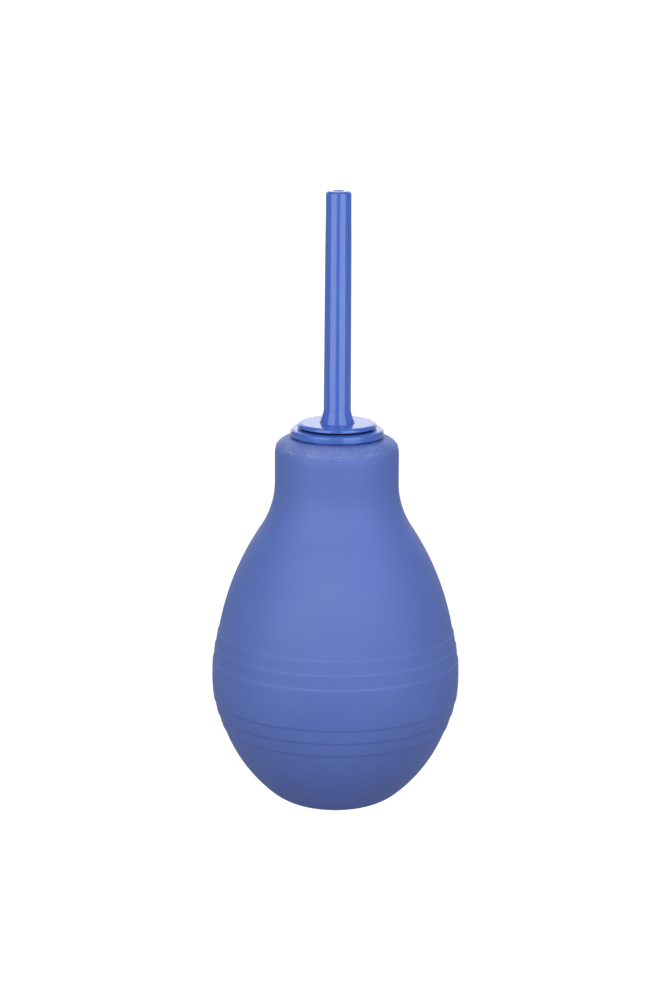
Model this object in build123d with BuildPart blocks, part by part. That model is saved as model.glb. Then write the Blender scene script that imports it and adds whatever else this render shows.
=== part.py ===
"""Bulb syringe: a soft rubber squeeze bulb, a threaded collar held in its neck, a flat gasket and a
screw-in nozzle. Millimetres, +Z up along the common axis, origin in the middle of the flat foot."""
import os
from math import atan2, ceil, degrees, hypot, sqrt

from build123d import *

# ---- driving dimensions: squeeze bulb ----
bulb_height = 115.0
belly_radius = 37.3  # before the raised bands are added
belly_height = 40.5
foot_radius = 9.0
toe_radius = 17.65  # between the flat foot and the lower side
bulb_wall = 2.8
neck_wall = 7.9
neck_length = 13.6  # straight part, from the end of the shoulder blend to the top
shoulder_blend = 26.0
lip_radius = 4.0
parting_ledge = 0.1  # the lip above the mould's parting line is this much smaller
neck_bore_radius = 11.0

# ---- driving dimensions: raised bands round the belly ----
band_centre_height = 39.65
belt_half_height = 6.4
band_spacing = 4.3
band_count = 3
band_step = 0.27
band_slope_height = 0.5  # each step is a short slope, this tall
band_softening = 0.06

# ---- driving dimensions: collar pressed into the neck ----
collar_flange_overhang = 3.2  # past the neck's bore
collar_flange_thickness = 2.3
collar_flange_rounding = 0.9
collar_shoulder_height = 0.6  # the flange stands off the rubber on a narrower shoulder
collar_shoulder_inset = 0.9
sleeve_length = 16.0
sleeve_wall = 1.65
sleeve_clearance = 0.05
barb_count = 3
barb_height = 0.6
barb_length = 2.6
barb_spacing = 4.2
barb_first_depth = 3.0  # from the neck's top face to the first barb's square shoulder

# ---- driving dimensions: screw thread ----
thread_pitch = 3.0
thread_depth = 0.9
thread_root_width = 1.5
thread_crest_width = 0.9
thread_clearance = 0.15
thread_embed = 0.25  # how far a ridge's root runs into the wall that carries it
thread_end_gap = 1.3  # from either end of a threaded wall to the middle of the nearest ridge

# ---- driving dimensions: gasket and nozzle ----
gasket_thickness = 0.6
gasket_width = 2.25
gasket_bore_clearance = 0.3
nozzle_flange_overhang = 2.95  # past the crest of the spigot's thread
nozzle_flange_thickness = 1.25
nozzle_flange_rounding = 1.05  # on its upper edge
nozzle_flange_break = 0.15  # on its lower edge
spigot_length = 15.0
spigot_wall = 2.2
spigot_end_chamfer = 0.6
tube_length = 70.2  # from the nozzle flange's top to the tip
tube_base_radius = 4.15
tube_tip_radius = 3.9
tube_flare_width = 1.25  # the foot of the tube spreads by this much
tube_flare_height = 3.4
tube_flare_softening = 3.0
tip_land = 8.0  # the last stretch, where the outside is a true cylinder
tip_rounding = 1.0
tip_bore_radius = 1.6
tip_bore_rounding = 0.3
tip_bore_length = 10.0
tube_bore_radius = 2.3

# ---- sizes that follow ----
neck_radius = neck_bore_radius + neck_wall
collar_flange_radius = neck_bore_radius + collar_flange_overhang
sleeve_radius = neck_bore_radius - sleeve_clearance
collar_bore_radius = sleeve_radius - sleeve_wall
nozzle_crest_radius = collar_bore_radius - thread_clearance
spigot_radius = nozzle_crest_radius - thread_depth
collar_crest_radius = spigot_radius + thread_clearance
nozzle_flange_radius = nozzle_crest_radius + nozzle_flange_overhang
gasket_bore_radius = spigot_radius + gasket_bore_clearance
collar_top = bulb_height + collar_shoulder_height + collar_flange_thickness
nozzle_seat = collar_top + gasket_thickness
nozzle_flange_top = nozzle_seat + nozzle_flange_thickness
tip_height = nozzle_flange_top + tube_length
spigot_end = nozzle_seat - spigot_length

# Both threads follow one helix, half a pitch apart, so that they stay clear all the way out.
nozzle_thread_start = spigot_end + thread_end_gap
nozzle_thread_rise = collar_top - thread_end_gap - nozzle_thread_start
lowest_collar_ridge = bulb_height - sleeve_length + thread_end_gap
half_pitch_up = nozzle_thread_start + thread_pitch / 2
collar_ridge_shift = ceil((lowest_collar_ridge - half_pitch_up) / thread_pitch) * thread_pitch
collar_thread_start = half_pitch_up + collar_ridge_shift
collar_thread_rise = collar_top - thread_end_gap - collar_thread_start

# The side is two large arcs that meet upright at the belly. Each radius is the one that also runs
# tangent into its neighbour: the toe arc below, the shoulder blend above.
neck_start = bulb_height - neck_length
toe_drop = belly_height - toe_radius
lower_reach = belly_radius - foot_radius
lower_radius = (lower_reach**2 + toe_drop**2 - toe_radius**2) / (2 * (lower_reach - toe_radius))
lower_centre = (belly_radius - lower_radius, belly_height)
toe_turn = degrees(atan2(-toe_drop, foot_radius - lower_centre[0]))
blend_offset = neck_radius + shoulder_blend - belly_radius
upper_rise = neck_start - belly_height
upper_radius = (blend_offset**2 + upper_rise**2 - shoulder_blend**2) / (2 * (belly_radius - neck_radius))
upper_centre = (belly_radius - upper_radius, belly_height)
blend_centre = (neck_radius + shoulder_blend, neck_start)
upper_turn = degrees(atan2(upper_rise, blend_centre[0] - upper_centre[0]))

band_offsets = [belt_half_height + i * band_spacing for i in range(band_count)]
lower_edges = [band_centre_height - offset for offset in reversed(band_offsets)]
upper_edges = [band_centre_height + offset for offset in band_offsets]
half_slope = band_slope_height / 2


def on_arc(centre, radius, height):
    """The point of an arc's outer side at a height."""
    return (centre[0] + sqrt(radius**2 - (height - centre[1]) ** 2), height)


def tangent_point(centre, other, radius):
    """Where the arc round centre meets the arc round other that it runs tangent into."""
    span = hypot(other[0] - centre[0], other[1] - centre[1])
    return (
        centre[0] + radius * (other[0] - centre[0]) / span,
        centre[1] + radius * (other[1] - centre[1]) / span,
    )


def band_arc(centre, radius, low, high):
    """One stretch of the side, drawn through three points of its arc."""
    middle = (low + high) / 2
    ThreePointArc(on_arc(centre, radius, low), on_arc(centre, radius, middle), on_arc(centre, radius, high))


def band_slope(centre, radius_below, radius_above, edge):
    """The short slope that carries the side from one arc to the next across a band's edge."""
    Line(on_arc(centre, radius_below, edge - half_slope), on_arc(centre, radius_above, edge + half_slope))


def barb_outline(shoulder, growth):
    """One saw-tooth barb round the sleeve, square side up, larger all round by growth."""
    root = sleeve_radius - sleeve_wall / 2
    tip = sleeve_radius + barb_height + growth
    foot = sleeve_radius + growth
    Polygon(
        (root, shoulder + growth),
        (tip, shoulder + growth),
        (tip, shoulder - barb_length / 4),
        (foot, shoulder - barb_length - growth),
        (root, shoulder - barb_length - growth),
        align=None,
    )


barb_shoulders = [bulb_height - barb_first_depth - i * barb_spacing for i in range(barb_count)]


def corner_at(sketch, radius, height):
    """The corner of a half section nearest a radius and a height."""
    return sketch.vertices().sort_by(lambda corner: hypot(corner.X - radius, corner.Y - height))[0]


def thread_ridge(base_radius, start_height, rise, outwards):
    """A trapezoidal ridge swept along a right-hand helix, standing outwards or inwards from a wall."""
    side = 1 if outwards else -1
    with BuildPart() as ridge:
        with BuildLine() as path:
            Helix(thread_pitch, rise, base_radius, center=(0, 0, start_height))
        start = Plane(origin=path.line @ 0, x_dir=(1, 0, 0), z_dir=path.line % 0)
        root_x = -side * thread_embed
        crest_x = side * thread_depth
        widening = (thread_root_width - thread_crest_width) / thread_depth * thread_embed
        root_half = (thread_root_width + widening) / 2
        with BuildSketch(start):
            Polygon(
                (root_x, -root_half),
                (crest_x, -thread_crest_width / 2),
                (crest_x, thread_crest_width / 2),
                (root_x, root_half),
                align=None,
            )
        sweep(path=path.line, is_frenet=True)
    return ridge.part


os.makedirs("parts", exist_ok=True)

# ---- squeeze bulb: one moulding, hollow, open at the neck ----
with BuildPart() as squeeze_bulb:
    with BuildSketch(Plane.XZ) as bulb_section:
        with BuildLine():
            Line((0, 0), (foot_radius, 0))
            CenterArc((foot_radius, toe_radius), toe_radius, -90, 90 + toe_turn)
            low = tangent_point(lower_centre, (foot_radius, toe_radius), lower_radius)[1]
            for raised, edge in enumerate(lower_edges):
                reach = lower_radius + raised * band_step
                band_arc(lower_centre, reach, low, edge - half_slope)
                band_slope(lower_centre, reach, reach + band_step, edge)
                low = edge + half_slope
            band_arc(lower_centre, lower_radius + band_count * band_step, low, belly_height)
            low = belly_height
            for passed, edge in enumerate(upper_edges):
                reach = upper_radius + (band_count - passed) * band_step
                band_arc(upper_centre, reach, low, edge - half_slope)
                band_slope(upper_centre, reach, reach - band_step, edge)
                low = edge + half_slope
            shoulder = tangent_point(upper_centre, blend_centre, upper_radius)
            band_arc(upper_centre, upper_radius, low, shoulder[1])
            CenterArc(blend_centre, shoulder_blend, 180 + upper_turn, -upper_turn)
            lip_start = bulb_height - lip_radius
            lip_centre = (neck_radius - parting_ledge - lip_radius, lip_start)
            Line((neck_radius, neck_start), (neck_radius, lip_start))
            Line((neck_radius, lip_start), (neck_radius - parting_ledge, lip_start))
            CenterArc(lip_centre, lip_radius, 0, 90)
            Line((lip_centre[0], bulb_height), (0, bulb_height))
            Line((0, bulb_height), (0, 0))
        make_face()
        band_corners = [
            corner
            for corner in bulb_section.vertices()
            if any(abs(corner.Y - edge) < band_slope_height for edge in lower_edges + upper_edges)
        ]
        fillet(band_corners, band_softening)
    revolve(axis=Axis.Z)
    with BuildSketch(Plane.XZ):
        with BuildLine():
            inner_toe = toe_radius - bulb_wall
            inner_upper = upper_radius - bulb_wall
            bore_turn = degrees(
                atan2(
                    sqrt(inner_upper**2 - (neck_bore_radius - upper_centre[0]) ** 2),
                    neck_bore_radius - upper_centre[0],
                )
            )
            Line((0, bulb_wall), (foot_radius, bulb_wall))
            CenterArc((foot_radius, toe_radius), inner_toe, -90, 90 + toe_turn)
            CenterArc(lower_centre, lower_radius - bulb_wall, toe_turn, -toe_turn)
            chamber = CenterArc(upper_centre, inner_upper, 0, bore_turn)
            Line(chamber @ 1, (neck_bore_radius, bulb_height))
            Line((neck_bore_radius, bulb_height), (0, bulb_height))
            Line((0, bulb_height), (0, bulb_wall))
        make_face()
    revolve(axis=Axis.Z, mode=Mode.SUBTRACT)
    for shoulder_height in barb_shoulders:
        with BuildSketch(Plane.XZ):
            barb_outline(shoulder_height, sleeve_clearance)
        revolve(axis=Axis.Z, mode=Mode.SUBTRACT)

# ---- neck collar: flange on the neck, barbed sleeve in its bore, thread inside ----
collar_ridge = thread_ridge(collar_bore_radius, collar_thread_start, collar_thread_rise, outwards=False)
with BuildPart() as neck_collar:
    with BuildSketch(Plane.XY.offset(collar_top)):
        Circle(collar_flange_radius)
    extrude(amount=-collar_flange_thickness)
    fillet(neck_collar.edges().sort_by(Axis.Z)[-1], collar_flange_rounding)
    fillet(neck_collar.edges().sort_by(Axis.Z)[0], collar_flange_rounding / 3)
    with BuildSketch(Plane.XY.offset(bulb_height)):
        Circle(collar_flange_radius - collar_shoulder_inset)
    extrude(amount=collar_shoulder_height)
    with BuildSketch(Plane.XY.offset(bulb_height)):
        Circle(sleeve_radius)
    extrude(amount=-sleeve_length)
    for shoulder_height in barb_shoulders:
        with BuildSketch(Plane.XZ):
            barb_outline(shoulder_height, 0)
        revolve(axis=Axis.Z)
    with BuildSketch(Plane.XY.offset(collar_top)):
        Circle(collar_bore_radius)
    extrude(amount=bulb_height - sleeve_length - collar_top, mode=Mode.SUBTRACT)
    add(collar_ridge)

# ---- gasket between the collar and the nozzle's flange ----
with BuildPart() as gasket:
    with BuildSketch(Plane.XY.offset(collar_top)):
        Circle(gasket_bore_radius + gasket_width)
        Circle(gasket_bore_radius, mode=Mode.SUBTRACT)
    extrude(amount=gasket_thickness)

# ---- nozzle: tube, flange and threaded spigot in one moulding, bored through ----
nozzle_ridge = thread_ridge(spigot_radius, nozzle_thread_start, nozzle_thread_rise, outwards=True)
with BuildPart() as nozzle:
    with BuildSketch(Plane.XZ) as nozzle_section:
        with BuildLine():
            Polyline(
                (0, spigot_end),
                (spigot_radius, spigot_end),
                (spigot_radius, nozzle_seat),
                (nozzle_flange_radius, nozzle_seat),
                (nozzle_flange_radius, nozzle_flange_top),
                (tube_base_radius + tube_flare_width, nozzle_flange_top),
                (tube_base_radius, nozzle_flange_top + tube_flare_height),
                (tube_tip_radius, tip_height - tip_land),
                (tube_tip_radius, tip_height),
                (0, tip_height),
                (0, spigot_end),
            )
        make_face()
        fillet(corner_at(nozzle_section, nozzle_flange_radius, nozzle_flange_top), nozzle_flange_rounding)
        fillet(corner_at(nozzle_section, nozzle_flange_radius, nozzle_seat), nozzle_flange_break)
        flare_top = nozzle_flange_top + tube_flare_height
        fillet(corner_at(nozzle_section, tube_base_radius, flare_top), tube_flare_softening)
        fillet(corner_at(nozzle_section, tube_tip_radius, tip_height), tip_rounding)
        chamfer(corner_at(nozzle_section, spigot_radius, spigot_end), spigot_end_chamfer)
    revolve(axis=Axis.Z)
    with BuildSketch(Plane.XZ):
        with BuildLine():
            spigot_bore_radius = spigot_radius - spigot_wall
            cone_start = nozzle_seat - (spigot_bore_radius - tube_bore_radius)
            Polyline(
                (0, spigot_end),
                (spigot_bore_radius, spigot_end),
                (spigot_bore_radius, cone_start),
                (tube_bore_radius, nozzle_seat),
                (tip_bore_radius, tip_height - tip_bore_length),
                (tip_bore_radius, tip_height),
                (0, tip_height),
                (0, spigot_end),
            )
        make_face()
    revolve(axis=Axis.Z, mode=Mode.SUBTRACT)
    tip_circles = nozzle.edges().filter_by(GeomType.CIRCLE).group_by(Axis.Z)[-1]
    fillet(tip_circles.sort_by(SortBy.RADIUS)[0], tip_bore_rounding)
    add(nozzle_ridge)

finished = {
    "squeeze_bulb": squeeze_bulb,
    "neck_collar": neck_collar,
    "gasket": gasket,
    "nozzle": nozzle,
}
for label, piece in finished.items():
    piece.part.label = label
    export_step(piece.part, f"parts/{label}.step")
    print(label, "volume", round(piece.part.volume), "mm3")
print("lower side radius", round(lower_radius, 2), "upper side radius", round(upper_radius, 2))
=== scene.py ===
# %% [markdown]
# # A bulb syringe, dressed in Blender
#
# A bulb syringe is a hand-squeezed rubber bulb with a rigid nozzle screwed into its neck. The solid
# model of it is already there, as a fixed frame: four parts, each riding on the body that moves it.
# This lesson loads that frame, models the soft bulb afresh, and gives every part the finish of its
# material. Everything is in metres.

# %% Load the frame and note its box
import math

import bpy
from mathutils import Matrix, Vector


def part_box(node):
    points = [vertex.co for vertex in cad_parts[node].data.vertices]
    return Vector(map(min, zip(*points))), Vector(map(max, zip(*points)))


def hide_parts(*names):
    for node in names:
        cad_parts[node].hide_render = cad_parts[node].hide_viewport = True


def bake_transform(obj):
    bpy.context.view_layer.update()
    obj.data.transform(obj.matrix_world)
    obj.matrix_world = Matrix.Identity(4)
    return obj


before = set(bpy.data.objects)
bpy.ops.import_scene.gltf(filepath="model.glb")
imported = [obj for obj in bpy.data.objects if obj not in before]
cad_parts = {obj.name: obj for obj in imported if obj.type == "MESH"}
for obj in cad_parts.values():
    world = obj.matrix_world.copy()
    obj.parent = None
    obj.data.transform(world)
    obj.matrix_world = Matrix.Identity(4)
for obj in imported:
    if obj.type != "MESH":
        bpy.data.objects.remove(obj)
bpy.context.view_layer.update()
MM = 0.001

# %% [markdown]
# ## Sizes
#
# The frame says how high the bulb is. The bulb's outline is not in the frame, only its mesh, so the
# arcs that the outline is drawn with are named here. Two large arcs meet upright at the belly, and
# each is exactly as large as it must be to run smoothly into its neighbour: a small toe arc below, a
# shoulder blend above. The three edges of the raised bands are half widths, counted from the middle.

# %% Sizes of the bulb
bulb_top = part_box("squeeze_bulb")[1].z
FOOT_RADIUS = 9.0 * MM
TOE_RADIUS = 17.65 * MM
BELLY_RADIUS = 37.3 * MM
BELLY_HEIGHT = 40.5 * MM
NECK_RADIUS = 18.9 * MM
NECK_LENGTH = 13.6 * MM
NECK_BORE = 11.0 * MM
SHOULDER_BLEND = 26.0 * MM
LIP_RADIUS = 4.0 * MM
LEDGE = 0.1 * MM
WALL = 2.8 * MM
BAND_CENTRE = 39.65 * MM
BAND_EDGES = [6.4 * MM, 10.7 * MM, 15.0 * MM]
BAND_STEP = 0.27 * MM
HALF_SLOPE = 0.25 * MM
neck_start = bulb_top - NECK_LENGTH
lip_start = bulb_top - LIP_RADIUS
print("bulb is", round(bulb_top / MM, 1), "mm high, its neck starts at", round(neck_start / MM, 1))

# %% [markdown]
# ## The camera
#
# A long lens from about 0.86 m, looking down by nearly 13 degrees, keeps the tube almost parallel and
# still shows the tops of the two discs. The camera is also turned a little about its own line of
# sight, so that the object leans very slightly to the right.

# %% Camera
PITCH = math.radians(12.7)
ROLL = math.radians(0.39)
DISTANCE = 0.8551
AIM_HEIGHT = 0.0955
SIDE_SHIFT = -0.00095
FOCAL_LENGTH = 100.8
SENSOR_WIDTH = 36.0

camera_data = bpy.data.cameras.new("camera")
camera_data.lens = FOCAL_LENGTH
camera_data.sensor_width = SENSOR_WIDTH
camera = bpy.data.objects.new("camera", camera_data)
bpy.context.scene.collection.objects.link(camera)
camera.location = (
    SIDE_SHIFT,
    -DISTANCE * math.cos(PITCH),
    AIM_HEIGHT + DISTANCE * math.sin(PITCH),
)
camera.rotation_mode = "XYZ"
camera.rotation_euler = (math.radians(90) - PITCH, 0, 0)
camera.rotation_euler.rotate_axis("Z", ROLL)
bpy.context.scene.camera = camera
print("camera stands", round(camera.location.z, 3), "m high")

# %% [markdown]
# ## Helpers for work by hand
#
# The operators act on whatever is selected, and the frame's parts are selected after loading, so each
# new piece starts with nothing selected. A round piece is made as on a lathe: its half section is
# drawn point by point with extrude, and then spun about the upright axis.


# %% Selecting and applying
def deselect_all():
    """Leave edit mode and select nothing."""
    if bpy.context.object and bpy.context.object.mode != "OBJECT":
        bpy.ops.object.mode_set(mode="OBJECT")
    bpy.ops.object.select_all(action="DESELECT")


def make_active(piece):
    """Select one object and make it the one that operators act on."""
    deselect_all()
    piece.select_set(True)
    bpy.context.view_layer.objects.active = piece


def apply_modifiers(piece):
    """Turn each modifier of a piece into plain mesh, in order."""
    make_active(piece)
    for modifier in list(piece.modifiers):
        bpy.ops.object.modifier_apply(modifier=modifier.name)


# %% Drawing and turning
MERGE_DISTANCE = 0.0005 * MM


def arc(centre, radius, start, end, count):
    """Points along an arc in the section plane, angles in radians from straight out, both ends too."""
    turns = [start + (end - start) * i / (count - 1) for i in range(count)]
    return [(centre[0] + radius * math.cos(t), centre[1] + radius * math.sin(t)) for t in turns]


def turned_piece(name, section, steps):
    """A round piece: its half section is drawn with extrude, then spun."""
    deselect_all()
    bpy.ops.mesh.primitive_plane_add(size=MM, location=(0, 0, 0))
    piece = bpy.context.object
    piece.name = name
    bpy.ops.object.mode_set(mode="EDIT")
    bpy.ops.mesh.select_mode(type="VERT")
    bpy.ops.mesh.select_all(action="SELECT")
    bpy.ops.mesh.merge(type="CENTER")
    here = Vector((section[0][0], 0, section[0][1]))
    bpy.ops.transform.translate(value=here)
    for radius, height in section[1:]:
        there = Vector((radius, 0, height))
        bpy.ops.mesh.extrude_region_move(TRANSFORM_OT_translate={"value": there - here})
        here = there
    bpy.ops.mesh.select_all(action="SELECT")
    bpy.ops.mesh.spin(steps=steps, angle=math.tau, center=(0, 0, 0), axis=(0, 0, 1))
    bpy.ops.mesh.select_all(action="SELECT")
    bpy.ops.mesh.remove_doubles(threshold=MERGE_DISTANCE)
    bpy.ops.mesh.normals_make_consistent(inside=False)
    bpy.ops.object.mode_set(mode="OBJECT")
    return piece


# %% [markdown]
# ## The squeeze bulb
#
# The real bulb is one hollow moulding of soft rubber. Seen from outside it is an egg with a thick
# neck, and its belly carries raised bands: three small steps up from above and three from below, so
# that the middle belt stands proudest. It could be sculpted from a sphere, but a half section spun
# round the axis gives every band its exact height, and the wall inside comes with it. Each step is a
# short slope, and a bevel then softens its corners as a mould would.

# %% Centres and turns of the bulb's arcs
toe_centre = (FOOT_RADIUS, TOE_RADIUS)
toe_drop = BELLY_HEIGHT - TOE_RADIUS
reach = BELLY_RADIUS - FOOT_RADIUS
lower_radius = (reach**2 + toe_drop**2 - TOE_RADIUS**2) / (2 * (reach - TOE_RADIUS))
lower_centre = (BELLY_RADIUS - lower_radius, BELLY_HEIGHT)
toe_turn = math.atan2(-toe_drop, FOOT_RADIUS - lower_centre[0])
blend_offset = NECK_RADIUS + SHOULDER_BLEND - BELLY_RADIUS
rise = neck_start - BELLY_HEIGHT
upper_radius = (blend_offset**2 + rise**2 - SHOULDER_BLEND**2) / (2 * (BELLY_RADIUS - NECK_RADIUS))
upper_centre = (BELLY_RADIUS - upper_radius, BELLY_HEIGHT)
blend_centre = (NECK_RADIUS + SHOULDER_BLEND, neck_start)
upper_turn = math.atan2(rise, blend_centre[0] - upper_centre[0])
print("side arcs:", round(lower_radius / MM, 1), "mm below,", round(upper_radius / MM, 1), "mm above")

# %% [markdown]
# ### The outside
#
# From the foot upwards: the toe, the lower side with its three steps up, the upper side with its three
# steps down, the shoulder, the straight neck and the rounded lip. A low ridge on the lip, three
# hundredths of a millimetre proud, is kept for the line that the mould left.

# %% Outside of the section
SIDE_SPACING = 1.5 * MM
TOE_POINTS = 14
BLEND_POINTS = 14
NECK_STEPS = 6
LIP_POINTS_BELOW = 8
LIP_POINTS_ABOVE = 14
FLASH_TURN = math.radians(25)
FLASH_HALF = math.radians(3)
FLASH_CREST = FLASH_HALF / 3
FLASH_PROUD = 0.03 * MM
lip_centre = (NECK_RADIUS - LEDGE - LIP_RADIUS, lip_start)
flash_height = lip_start + LIP_RADIUS * math.sin(FLASH_TURN)


def side_arc(centre, radius, low, high):
    """A stretch of the side between two heights, with its points about SIDE_SPACING apart."""
    start = math.asin((low - centre[1]) / radius)
    end = math.asin((high - centre[1]) / radius)
    count = max(3, round(abs(end - start) * radius / SIDE_SPACING) + 1)
    return arc(centre, radius, start, end, count)


def banded_side(low):
    """The side from a height up to the shoulder: each band a step further out, then back in."""
    points = []
    bands = len(BAND_EDGES)
    for raised, half_width in enumerate(reversed(BAND_EDGES)):
        edge = BAND_CENTRE - half_width
        points += side_arc(lower_centre, lower_radius + raised * BAND_STEP, low, edge - HALF_SLOPE)
        low = edge + HALF_SLOPE
    points += side_arc(lower_centre, lower_radius + bands * BAND_STEP, low, BELLY_HEIGHT)[:-1]
    low = BELLY_HEIGHT
    for passed, half_width in enumerate(BAND_EDGES):
        edge = BAND_CENTRE + half_width
        radius = upper_radius + (bands - passed) * BAND_STEP
        points += side_arc(upper_centre, radius, low, edge - HALF_SLOPE)
        low = edge + HALF_SLOPE
    shoulder = upper_centre[1] + upper_radius * math.sin(upper_turn)
    points += side_arc(upper_centre, upper_radius, low, shoulder)[:-1]
    return points


def neck_and_lip():
    """The blend into the neck, the neck, and the lip with the low ridge of the parting line."""
    points = arc(blend_centre, SHOULDER_BLEND, math.pi + upper_turn, math.pi, BLEND_POINTS)
    neck_step = (lip_start - neck_start) / NECK_STEPS
    points += [(NECK_RADIUS, neck_start + neck_step * i) for i in range(1, NECK_STEPS + 1)]
    points += arc(lip_centre, LIP_RADIUS, 0, FLASH_TURN - FLASH_HALF, LIP_POINTS_BELOW)
    crest_radius = LIP_RADIUS + FLASH_PROUD
    points += arc(lip_centre, crest_radius, FLASH_TURN - FLASH_CREST, FLASH_TURN + FLASH_CREST, 3)
    points += arc(lip_centre, LIP_RADIUS, FLASH_TURN + FLASH_HALF, math.pi / 2, LIP_POINTS_ABOVE)
    return points


toe = arc(toe_centre, TOE_RADIUS, -math.pi / 2, toe_turn, TOE_POINTS)
outside = [(0.0, 0.0), (FOOT_RADIUS / 2, 0.0)] + toe[:-1] + banded_side(toe[-1][1]) + neck_and_lip()
print("outside:", len(outside), "points, the widest", round(max(p[0] for p in outside) / MM, 2), "mm")

# %% [markdown]
# ### The inside
#
# The neck's bore runs straight down until it meets the chamber. The chamber follows the outside's
# arcs one wall thickness further in, without the bands, which are on the outside only.

# %% Inside of the section
CHAMBER_TOP_POINTS = 40
CHAMBER_SIDE_POINTS = 30
CHAMBER_TOE_POINTS = 12
chamber_radius = upper_radius - WALL
bore_turn = math.acos((NECK_BORE - upper_centre[0]) / chamber_radius)
inside = [(NECK_BORE, bulb_top)]
inside += arc(upper_centre, chamber_radius, bore_turn, 0, CHAMBER_TOP_POINTS)
inside += arc(lower_centre, lower_radius - WALL, 0, toe_turn, CHAMBER_SIDE_POINTS)[1:-1]
inside += arc(toe_centre, TOE_RADIUS - WALL, toe_turn, -math.pi / 2, CHAMBER_TOE_POINTS)
inside += [(0.0, WALL)]
print("inside:", len(inside), "points")

# %% Spin the bulb
BULB_STEPS = 240
SOFT_WIDTH = 0.1 * MM
SOFT_FROM = math.radians(20)
bulb = turned_piece("bulb_skin", outside + inside, BULB_STEPS)
soften = bulb.modifiers.new("soft_edges", "BEVEL")
soften.limit_method = "ANGLE"
soften.angle_limit = SOFT_FROM
soften.width = SOFT_WIDTH
soften.segments = 2
apply_modifiers(bulb)
print("bulb:", len(bulb.data.polygons), "faces")

# %% [markdown]
# ### The line the mould left
#
# The mould parted a little way up the lip, and a trace of rubber stayed in the joint: a thin, ragged
# line that comes and goes. The section already has a low ridge there. A cloud pattern now pushes that
# ridge in and out, and only that ridge, through a vertex group.

# %% Ragged parting line
FLASH_HEIGHT = 0.42 * MM
FLASH_REACH = 0.13 * MM
FLASH_REST = 0.4
RAG_SIZE = 1.4 * MM
RAG_CONTRAST = 1.6
SMOOTH_UP_TO = math.radians(40)
outer_side = NECK_BORE * 1.4
flash = bulb.vertex_groups.new(name="flash")
on_line = [
    vertex.index
    for vertex in bulb.data.vertices
    if abs(vertex.co.z - flash_height) < FLASH_REACH
    and math.hypot(vertex.co.x, vertex.co.y) > outer_side
]
flash.add(on_line, 1.0, "REPLACE")
clouds = bpy.data.textures.new("flash_clouds", "CLOUDS")
clouds.noise_scale = RAG_SIZE
clouds.noise_depth = 2
clouds.contrast = RAG_CONTRAST
ragged = bulb.modifiers.new("ragged_line", "DISPLACE")
ragged.texture = clouds
ragged.texture_coords = "LOCAL"
ragged.vertex_group = flash.name
ragged.mid_level = FLASH_REST
ragged.strength = FLASH_HEIGHT
apply_modifiers(bulb)
bpy.ops.object.shade_smooth_by_angle(angle=SMOOTH_UP_TO)
print("parting line:", len(on_line), "points at", round(flash_height / MM, 2), "mm")

# %% [markdown]
# ## Finishes
#
# Each finish is a small node tree on object coordinates, so the pattern stays on the piece whichever
# way it moves. What is the same all over a surface is set on the shader itself.

# %% Material helpers
IOR = 1.5


def new_finish(name, roughness, specular=0.5):
    """A new finish: its material, and the shader that the patterns are linked to."""
    material = bpy.data.materials.new(name)
    material.use_nodes = True
    shader = material.node_tree.nodes["Principled BSDF"]
    shader.inputs["Roughness"].default_value = roughness
    shader.inputs["Specular IOR Level"].default_value = specular
    shader.inputs["IOR"].default_value = IOR
    return material, shader


def add_noise(material, scale, detail, stretch=(1, 1, 1)):
    """A cloudy pattern on object coordinates; scale is in patches a metre."""
    nodes, links = material.node_tree.nodes, material.node_tree.links
    place = nodes.new("ShaderNodeTexCoord")
    mapping = nodes.new("ShaderNodeMapping")
    mapping.inputs["Scale"].default_value = stretch
    noise = nodes.new("ShaderNodeTexNoise")
    noise.inputs["Scale"].default_value = scale
    noise.inputs["Detail"].default_value = detail
    links.new(place.outputs["Object"], mapping.inputs["Vector"])
    links.new(mapping.outputs["Vector"], noise.inputs["Vector"])
    return noise.outputs["Fac"]


def grey(level):
    """A colour without hue, for ramps that are read as plain numbers."""
    return (level, level, level)


def add_ramp(material, source, stops):
    """Turn a value into colours between stops of (position, colour), two stops or more."""
    ramp = material.node_tree.nodes.new("ShaderNodeValToRGB")
    material.node_tree.links.new(source, ramp.inputs["Fac"])
    for position, colour in stops[2:]:
        ramp.color_ramp.elements.new(position)
    for element, (position, colour) in zip(ramp.color_ramp.elements, stops):
        element.position = position
        element.color = (*colour, 1)
    return ramp.outputs["Color"]


def add_bump(material, shader, source, depth, strength):
    """Raise the surface by a pattern, depth in metres."""
    bump = material.node_tree.nodes.new("ShaderNodeBump")
    bump.inputs["Distance"].default_value = depth
    bump.inputs["Strength"].default_value = strength
    material.node_tree.links.new(source, bump.inputs["Height"])
    material.node_tree.links.new(bump.outputs["Normal"], shader.inputs["Normal"])


# %% [markdown]
# ### Bulb rubber
#
# The bulb is satin: a dull rubber with a faint, broad sheen. Its blue is mottled by a few hundredths,
# as pigment is in thick rubber, and a grain of about half a millimetre roughens the skin. Shine that
# is too strong would make it plastic, so the shader's specular level is kept low.

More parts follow.
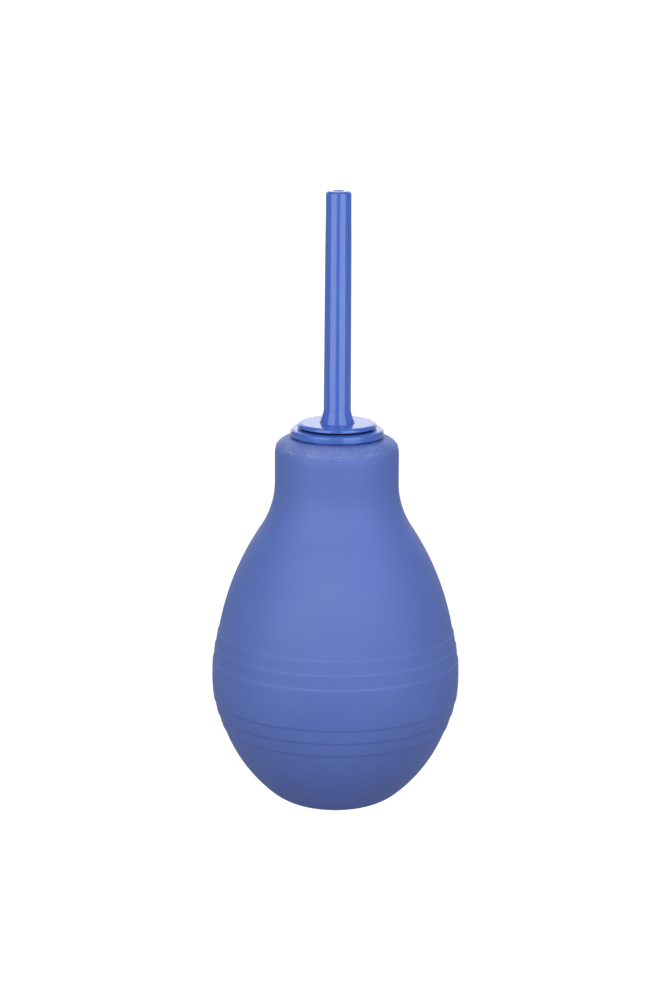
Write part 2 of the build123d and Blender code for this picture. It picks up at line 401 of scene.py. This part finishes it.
# %% Satin rubber
RUBBER_ROUGHNESS = 0.55
RUBBER_SPECULAR = 0.28
DEEP_BLUE = (0.091, 0.151, 0.475)
PALE_BLUE = (0.099, 0.163, 0.495)
MOTTLE_SCALE = 60
SKIN_SCALE = 2200
SKIN_DEPTH = 0.02 * MM
rubber, rubber_shader = new_finish("bulb_rubber", RUBBER_ROUGHNESS, RUBBER_SPECULAR)
mottle = add_noise(rubber, MOTTLE_SCALE, 4)
tones = add_ramp(rubber, mottle, [(0.3, DEEP_BLUE), (0.7, PALE_BLUE)])
skin = add_noise(rubber, SKIN_SCALE, 2)
add_bump(rubber, rubber_shader, skin, SKIN_DEPTH, 0.35)
print("satin rubber:", len(rubber.node_tree.nodes), "nodes")

# %% [markdown]
# ### Dust and painted sheen on the lip
#
# Round the lip the rubber is paler. Part of that is real talcum powder in its grain, and part is
# painted
# sheen: the grazing light that the rounded lip catches. It is paler on the left than on the right, and
# that difference is painted light. A fine speckle fades in with height, the ragged parting line holds a
# little more, and larger patches break both up. The result mixes a paler blue over the tones of the
# rubber.


# %% Helpers for one number from others
def add_fade(material, source, start, end, low=0.0, high=1.0):
    """Follow a value from start to end with one that goes from low to high."""
    fade = material.node_tree.nodes.new("ShaderNodeMapRange")
    fade.inputs["From Min"].default_value = start
    fade.inputs["From Max"].default_value = end
    fade.inputs["To Min"].default_value = low
    fade.inputs["To Max"].default_value = high
    material.node_tree.links.new(source, fade.inputs["Value"])
    return fade.outputs["Result"]


def combine(material, operation, first, second):
    """One value made from two by simple arithmetic."""
    step = material.node_tree.nodes.new("ShaderNodeMath")
    step.operation = operation
    material.node_tree.links.new(first, step.inputs[0])
    material.node_tree.links.new(second, step.inputs[1])
    return step.outputs["Value"]


# %% Where the dust and painted sheen lie
DUST_AND_SHEEN_FADE = 1.6 * MM
SPECKLE_SCALE = 2600
PATCH_SCALE = 150
# Stronger on the left than on the right: this side-to-side difference is painted light.
DUST_AND_SHEEN_LEFT = 1.25
DUST_AND_SHEEN_RIGHT = 0.6
place = rubber.node_tree.nodes.new("ShaderNodeTexCoord")
position = rubber.node_tree.nodes.new("ShaderNodeSeparateXYZ")
rubber.node_tree.links.new(place.outputs["Object"], position.inputs["Vector"])
dust_and_sheen_low = flash_height - DUST_AND_SHEEN_FADE
dust_and_sheen_high = flash_height + DUST_AND_SHEEN_FADE / 2
above = add_fade(rubber, position.outputs["Z"], dust_and_sheen_low, dust_and_sheen_high)
# Left-to-right fade of the paler tone, which is painted light.
side = add_fade(rubber, position.outputs["X"], -NECK_RADIUS, NECK_RADIUS, DUST_AND_SHEEN_LEFT, DUST_AND_SHEEN_RIGHT)
ridge = add_ramp(rubber, above, [(0.60, grey(0.0)), (0.667, grey(0.45)), (0.72, grey(0.0))])
speckle = add_noise(rubber, SPECKLE_SCALE, 3)
grains = add_ramp(rubber, speckle, [(0.40, grey(0.0)), (0.70, grey(0.6))])
patches = add_noise(rubber, PATCH_SCALE, 3)
cover = add_ramp(rubber, patches, [(0.40, grey(0.4)), (0.58, grey(1.0))])
print("dust fades in from", round(dust_and_sheen_low / MM, 1), "to", round(dust_and_sheen_high / MM, 1), "mm")

# %% Mix the dust and painted sheen in
# A paler blue, partly talcum powder and partly painted sheen.
TALC_AND_SHEEN_BLUE = (0.36, 0.43, 0.62)
grainy = combine(rubber, "MULTIPLY", grains, above)
speckle_and_ridge = combine(rubber, "ADD", grainy, ridge)
patchy = combine(rubber, "MULTIPLY", speckle_and_ridge, cover)
dust_and_sheen = combine(rubber, "MULTIPLY", patchy, side)
talc_and_sheen_mix = rubber.node_tree.nodes.new("ShaderNodeMix")
talc_and_sheen_mix.data_type = "RGBA"
talc_and_sheen_mix.inputs["B"].default_value = (*TALC_AND_SHEEN_BLUE, 1)
rubber.node_tree.links.new(dust_and_sheen, talc_and_sheen_mix.inputs["Factor"])
rubber.node_tree.links.new(tones, talc_and_sheen_mix.inputs["A"])
rubber.node_tree.links.new(talc_and_sheen_mix.outputs["Result"], rubber_shader.inputs["Base Color"])
bulb.data.materials.clear()
bulb.data.materials.append(rubber)
print("dusty rubber:", len(rubber.node_tree.nodes), "nodes")

# %% [markdown]
# ### Nozzle and collar plastic
#
# The tube and both discs are polished, hard plastic of a purer blue. What makes it look moulded is
# not its colour but its shine: nearly a mirror, with a faint ripple from the flow of the melt. The
# pigment is drawn out along the tube, so its pattern is stretched upwards.

# %% Polished plastic
PLASTIC_ROUGHNESS = 0.10
PLASTIC_DEEP = (0.056, 0.138, 0.535)
PLASTIC_PALE = (0.064, 0.150, 0.565)
SWIRL_SCALE = 90
DRAWN_OUT = (1, 1, 0.25)
RIPPLE_SCALE = 220
RIPPLE_DEPTH = 0.05 * MM
plastic, plastic_shader = new_finish("nozzle_plastic", PLASTIC_ROUGHNESS)
swirl = add_noise(plastic, SWIRL_SCALE, 3, DRAWN_OUT)
shades = add_ramp(plastic, swirl, [(0.3, PLASTIC_DEEP), (0.7, PLASTIC_PALE)])
plastic.node_tree.links.new(shades, plastic_shader.inputs["Base Color"])
ripple = add_noise(plastic, RIPPLE_SCALE, 2)
add_bump(plastic, plastic_shader, ripple, RIPPLE_DEPTH, 0.2)
collar_plastic = plastic.copy()
collar_plastic.name = "collar_plastic"
print("plastics:", plastic.name, "and", collar_plastic.name)

# %% [markdown]
# ### Gasket rubber
#
# Between the discs lies a flat ring of rubber. Only a thin line of it shows. Its near-black navy tone
# is painted shade, matched to the shade in the gap between the discs. It stays dull, with hardly any
# shine, and a little dust in its tone and grain.

# %% Dark rubber, toned as painted shade
GASKET_ROUGHNESS = 0.6
GASKET_SPECULAR = 0.1
# Near-black navy: painted shade for the dark gap between the discs.
GASKET_SHADE_DEEP = (0.002, 0.007, 0.04)
GASKET_SHADE_PALE = (0.004, 0.010, 0.05)
GRAIN_SCALE = 900
GRAIN_DEPTH = 0.02 * MM
gasket_rubber, gasket_shader = new_finish("gasket_rubber", GASKET_ROUGHNESS, GASKET_SPECULAR)
grain = add_noise(gasket_rubber, GRAIN_SCALE, 3)
gasket_shade_tones = add_ramp(gasket_rubber, grain, [(0.35, GASKET_SHADE_DEEP), (0.65, GASKET_SHADE_PALE)])
gasket_rubber.node_tree.links.new(gasket_shade_tones, gasket_shader.inputs["Base Color"])
add_bump(gasket_rubber, gasket_shader, grain, GRAIN_DEPTH, 0.3)
print("gasket rubber:", len(gasket_rubber.node_tree.nodes), "nodes")

# %% Give the frame's parts their finishes
for node, material in (("neck_collar", collar_plastic), ("gasket", gasket_rubber), ("nozzle", plastic)):
    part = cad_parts[node]
    part.data.materials.clear()
    part.data.materials.append(material)
    print(node, "wears", material.name)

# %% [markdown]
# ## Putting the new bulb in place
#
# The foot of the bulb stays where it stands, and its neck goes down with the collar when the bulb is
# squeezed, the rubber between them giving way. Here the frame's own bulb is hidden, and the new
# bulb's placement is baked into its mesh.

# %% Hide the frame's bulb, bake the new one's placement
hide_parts("squeeze_bulb")
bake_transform(bulb)

# %% [markdown]
# ## Floor and light
#
# The object stands on a pale floor in a bright, soft studio. A floor that a camera sees and a floor
# that throws light up are two planes, so that each has its own brightness.

# %% Floor
FLOOR_SIZE = 40
FLOOR_ROUGHNESS = 0.9


def studio_floor(name, paint_level, glow):
    """A large flat floor with a dull paint and an even glow of its own."""
    deselect_all()
    bpy.ops.mesh.primitive_plane_add(size=FLOOR_SIZE, location=(0, 0, 0))
    surface = bpy.context.object
    surface.name = name
    paint, shader = new_finish(name + "_paint", FLOOR_ROUGHNESS, specular=0.0)
    shader.inputs["Base Color"].default_value = (*grey(paint_level), 1)
    shader.inputs["Emission Color"].default_value = (1, 1, 1, 1)
    shader.inputs["Emission Strength"].default_value = glow
    surface.data.materials.append(paint)
    return surface


floor = studio_floor("floor", paint_level=0.5, glow=0.97)
floor.visible_diffuse = False
floor.visible_glossy = False
floor.visible_shadow = False
bounce = studio_floor("floor_bounce", paint_level=0.3, glow=0.24)
bounce.visible_camera = False
print("floors:", floor.name, "and", bounce.name)

# %% [markdown]
# ### Lights for dull and for glossy surfaces
#
# A broad key light near the camera models the dull rubber, with a weak kicker on either side and a
# fill behind, and none of them shows in reflections. Two upright softboxes, left and right, draw the
# streaks on the tube, and the tops of the discs mirror a white panel behind. Those three only show in
# reflections, so that each can be set for the shine it makes. Azimuths are in degrees from the front,
# positive to the right, and a radiance doesn't change with the size of its box.

# %% Sizes and places of the lights
DULL_LIGHTS = {
    "key_front": {
        "azimuth": 0, "distance": 0.55, "height": 0.46, "aim_height": 0.09,
        "width": 0.46, "tall": 0.40, "radiance": 6.2,
    },
    "kicker_left": {
        "azimuth": -115, "distance": 0.70, "height": 0.25, "aim_height": 0.06,
        "width": 0.40, "tall": 0.60, "radiance": 1.6,
    },
    "kicker_right": {
        "azimuth": 115, "distance": 0.70, "height": 0.25, "aim_height": 0.06,
        "width": 0.40, "tall": 0.60, "radiance": 1.6,
    },
    "fill_behind": {
        "azimuth": 180, "distance": 0.80, "height": 0.50, "aim_height": 0.09,
        "width": 0.50, "tall": 0.50, "radiance": 4.0,
    },
}
MIRRORED_LIGHTS = {
    "softbox_left": {
        "azimuth": -42, "distance": 0.36, "height": 0.324, "aim_height": 0.324,
        "width": 0.345, "tall": 0.55, "radiance": 2.85,
    },
    "softbox_right": {
        "azimuth": 40, "distance": 0.36, "height": 0.319, "aim_height": 0.319,
        "width": 0.348, "tall": 0.55, "radiance": 2.95,
    },
    "panel_behind": {
        "azimuth": 180, "distance": 1.1, "height": 0.45, "aim_height": 0.12,
        "width": 1.6, "tall": 0.9, "radiance": 1.46,
    },
}
print("lights:", len(DULL_LIGHTS), "for dull surfaces,", len(MIRRORED_LIGHTS), "for glossy ones")


# %% Set up the lights
def softbox(name, azimuth, distance, height, aim_height, width, tall, radiance):
    """A soft rectangular light on a stand, turned towards a height on the object's axis."""
    light = bpy.data.lights.new(name, "AREA")
    light.shape = "RECTANGLE"
    light.size = width
    light.size_y = tall
    light.energy = radiance * math.pi * width * tall
    stand = bpy.data.objects.new(name, light)
    bpy.context.scene.collection.objects.link(stand)
    turn = math.radians(azimuth)
    stand.location = (distance * math.sin(turn), -distance * math.cos(turn), height)
    aim = Vector((0, 0, aim_height)) - stand.location
    stand.rotation_euler = aim.to_track_quat("-Z", "Y").to_euler()
    stand.visible_camera = False
    return stand


for name, sizes in DULL_LIGHTS.items():
    dull_light = softbox(name, **sizes)
    dull_light.visible_glossy = False
for name, sizes in MIRRORED_LIGHTS.items():
    mirrored_light = softbox(name, **sizes)
    mirrored_light.visible_diffuse = False
print("key light:", round(bpy.data.lights["key_front"].energy, 2), "W")

# %% [markdown]
# ### The room
#
# The room behind is white to the camera, but lights the object only weakly, so that the shading stays
# soft without washing out. A light path node tells the two kinds of ray apart.

# %% Room
ROOM_LEVEL = 0.24
world = bpy.data.worlds.new("studio")
bpy.context.scene.world = world
world.use_nodes = True
background = world.node_tree.nodes["Background"]
background.inputs["Color"].default_value = (1, 1, 1, 1)
ray = world.node_tree.nodes.new("ShaderNodeLightPath")
level = world.node_tree.nodes.new("ShaderNodeMapRange")
level.inputs["To Min"].default_value = ROOM_LEVEL
level.inputs["To Max"].default_value = 1.0
world.node_tree.links.new(ray.outputs["Is Camera Ray"], level.inputs["Value"])
world.node_tree.links.new(level.outputs["Result"], background.inputs["Strength"])
bpy.context.scene.view_settings.view_transform = "Standard"
print("room lights the object at", ROOM_LEVEL)
